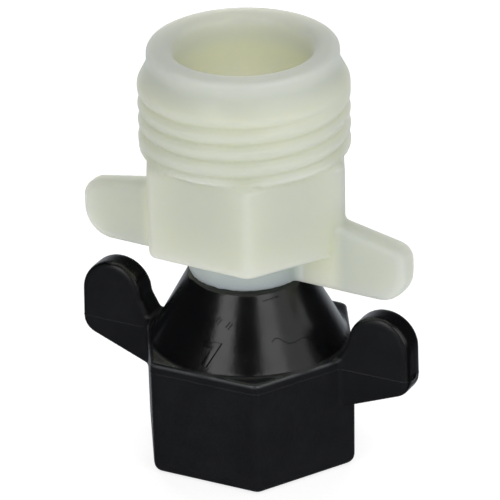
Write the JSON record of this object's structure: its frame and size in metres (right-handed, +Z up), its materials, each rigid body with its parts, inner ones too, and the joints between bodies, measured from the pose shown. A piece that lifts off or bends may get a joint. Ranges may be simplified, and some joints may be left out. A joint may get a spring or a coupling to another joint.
{
  "type": "swivel wing nut adapter",
  "caption": "Nylon swivel hose adapter: a hexagonal winged body with an external hose thread and a through bore, turning in a conical wing nut with an internal thread.",
  "frame": {"origin": "middle of the wing nut's end face, on the thread axis", "axes": "+Z up the thread axis from the nut to the hose thread, X through all four wings"},
  "size_m": [0.047, 0.0268, 0.0564],
  "materials": {
    "black_nylon": "black moulded nylon, glossy on the cone and satin on the flats",
    "natural_nylon": "natural undyed nylon, milky and slightly translucent, satin",
    "black_rubber": "matt black rubber"
  },
  "bodies": {
    "nut": {"wing_nut": "black_nylon"},
    "washer": {"sealing_washer": "black_rubber"},
    "adapter": {"adapter_body": "natural_nylon"}
  },
  "joints": [
    {"name": "swivel", "type": "hinge", "parent": "nut", "child": "washer", "pos_m": [0, 0, 0.0148], "axis": [0, 0, 1], "continuous": true},
    {"name": "axial_play", "type": "slide", "parent": "washer", "child": "adapter", "axis": [0, 0, 1], "range_m": [0, 0.0005]}
  ]
}
